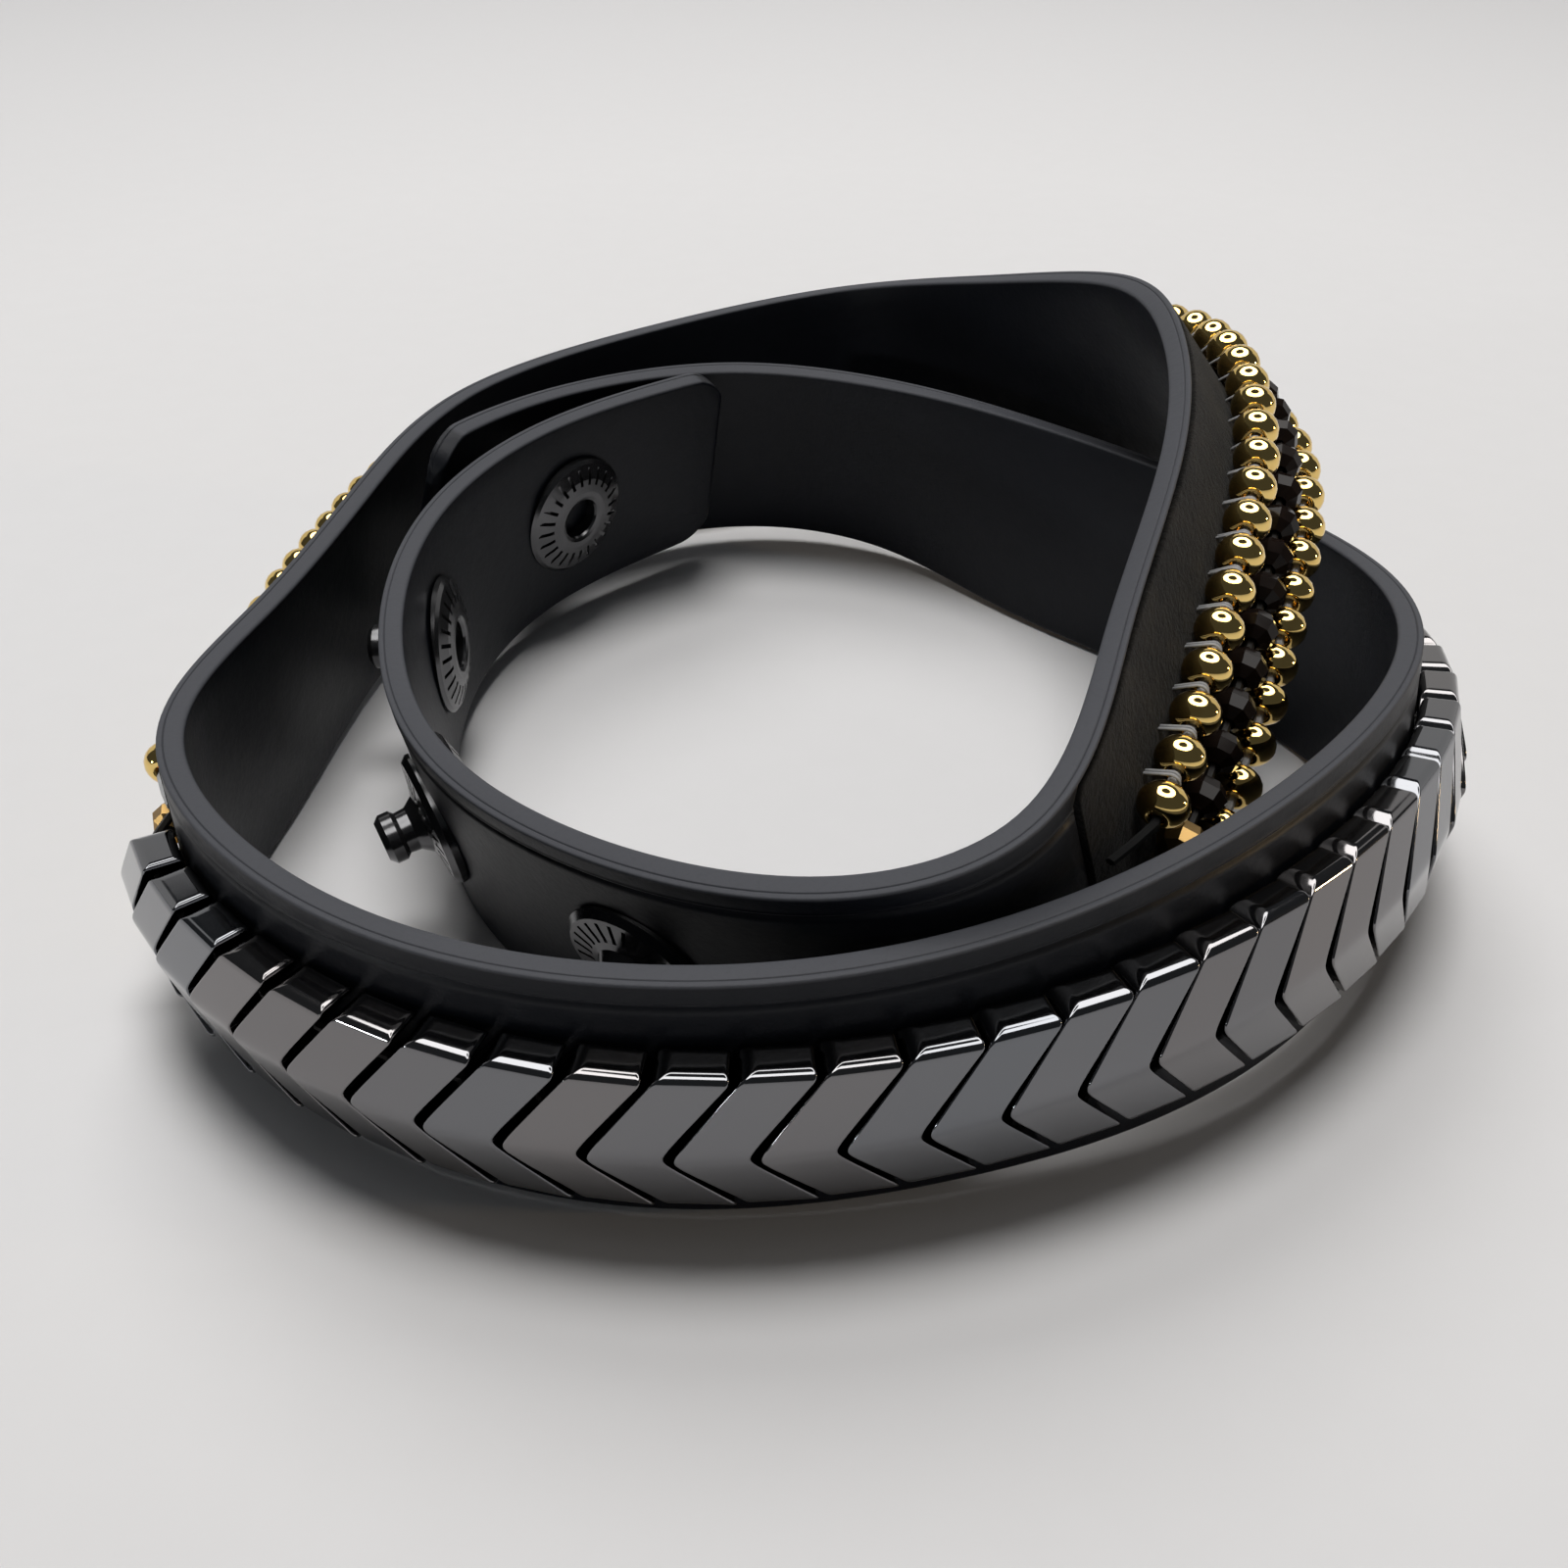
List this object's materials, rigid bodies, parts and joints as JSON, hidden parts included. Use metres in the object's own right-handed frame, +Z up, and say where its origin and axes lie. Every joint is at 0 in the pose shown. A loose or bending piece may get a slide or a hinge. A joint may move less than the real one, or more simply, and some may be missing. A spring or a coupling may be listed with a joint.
{
  "type": "wrap bracelet",
  "caption": "Flat strap wound in two turns and closed by a press stud, with a row of chevron stones and rows of round beads on its outer face.",
  "frame": {"origin": "middle of the bounding box's footprint, on the surface that the bracelet lies on", "axes": "+Z up out of the table, +Y away from the stretch of chevron stones, along the longest side, +X towards the raised stretch of beads"},
  "size_m": [0.0754, 0.0846, 0.0278],
  "materials": {
    "strap": "smooth black coated leather with a paler cut edge",
    "suede": "dull brown black suede",
    "stone": "mirror-polished dark grey stone",
    "gold": "polished gold plate",
    "dark_bead": "glossy cut beads, near black",
    "pale_thread": "grey waxed thread",
    "dark_thread": "black elastic thread",
    "snap": "black lacquered steel"
  },
  "bodies": {
    "root": {"strap": "strap", "bead_panel": "suede", "chevron_thread_upper": "dark_thread", "chevron_thread_lower": "dark_thread", "gold_beads_upper": "gold", "gold_beads_lower": "gold", "dark_beads": "dark_bead", "gold_thread_upper": "pale_thread", "gold_thread_lower": "pale_thread", "dark_thread": "dark_thread", "snap_socket": "snap", "snap_cap": "snap", "stud_1": "snap", "stud_2": "snap", "stud_3": "snap", "stud_4": "snap", "stud_cap_1": "snap", "stud_cap_2": "snap", "stud_cap_3": "snap", "stud_cap_4": "snap", "chevron_01": "stone", "chevron_02": "stone", "chevron_03": "stone", "chevron_04": "stone", "chevron_05": "stone", "chevron_06": "stone", "chevron_07": "stone", "chevron_08": "stone", "chevron_09": "stone", "chevron_10": "stone", "chevron_11": "stone", "chevron_12": "stone", "chevron_13": "stone", "chevron_14": "stone", "chevron_15": "stone", "chevron_16": "stone", "chevron_17": "stone", "chevron_18": "stone", "chevron_19": "stone", "chevron_20": "stone", "chevron_21": "stone", "chevron_22": "stone", "chevron_23": "stone", "chevron_24": "stone", "chevron_25": "stone", "chevron_26": "stone", "chevron_27": "stone", "chevron_28": "stone", "chevron_29": "stone", "chevron_30": "stone"}
  },
  "joints": []
}
